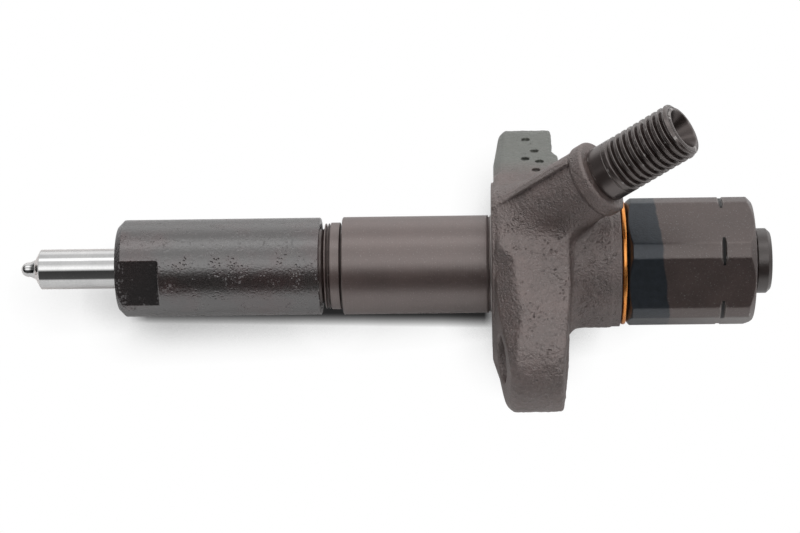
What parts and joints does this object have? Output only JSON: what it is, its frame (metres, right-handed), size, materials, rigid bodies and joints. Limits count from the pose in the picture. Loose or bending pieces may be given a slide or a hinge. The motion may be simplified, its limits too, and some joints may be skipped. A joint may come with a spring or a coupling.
{
  "type": "fuel injector",
  "caption": "Diesel fuel injector: long-stem nozzle in a nozzle nut, forged holder with a bolted flange and slanted inlet stub, hexagon cap nut with a leak-off port.",
  "frame": {"origin": "on the injector's axis, in the plane of the nozzle nut's front face, which seats in the cylinder head", "axes": "+Z along the injector's axis, from the nozzle to the cap; +X through the flange's bolt holes; the inlet stub leans towards -Y"},
  "size_m": [0.079, 0.0627, 0.1682],
  "materials": {
    "polished_steel": "ground and polished",
    "ground_steel": "ground",
    "black_oxide_steel": "black oxide over turned steel",
    "phosphated_steel": "brown-grey phosphate, turned, with forged skin on the flange",
    "spring_steel": "shot peened",
    "copper": "bright soft copper"
  },
  "bodies": {
    "holder": {"holder_body": "phosphated_steel", "edge_filter": "ground_steel", "nozzle_body": "polished_steel", "nozzle_dowels": "ground_steel", "nozzle_nut": "black_oxide_steel", "pressure_spring": "spring_steel", "lock_nut": "phosphated_steel", "cap_washer": "copper", "cap_nut": "phosphated_steel", "leak_off_washer": "black_oxide_steel", "leak_off_adaptor": "black_oxide_steel"},
    "needle": {"nozzle_needle": "ground_steel", "spindle": "ground_steel", "lower_spring_seat": "ground_steel"},
    "upper_seat": {"upper_spring_seat": "ground_steel"},
    "adjuster": {"adjusting_screw": "phosphated_steel"}
  },
  "joints": [
    {"name": "needle_lift", "type": "slide", "parent": "holder", "child": "needle", "axis": [0, 0, 1], "range_m": [0, 0.0003], "deforming": ["pressure_spring"]},
    {"name": "seat_travel", "type": "slide", "parent": "holder", "child": "upper_seat", "axis": [0, 0, 1], "range_m": [-0.001, 0.001], "deforming": ["pressure_spring"]},
    {"name": "adjuster_turn", "type": "hinge", "parent": "upper_seat", "child": "adjuster", "pos_m": [0, 0, 0.12], "axis": [0, 0, 1], "range_deg": [-400, 400]}
  ],
  "couplings": [
    {"joint": "adjuster_turn", "follows": "seat_travel", "rad_per_m": 6283.2}
  ]
}
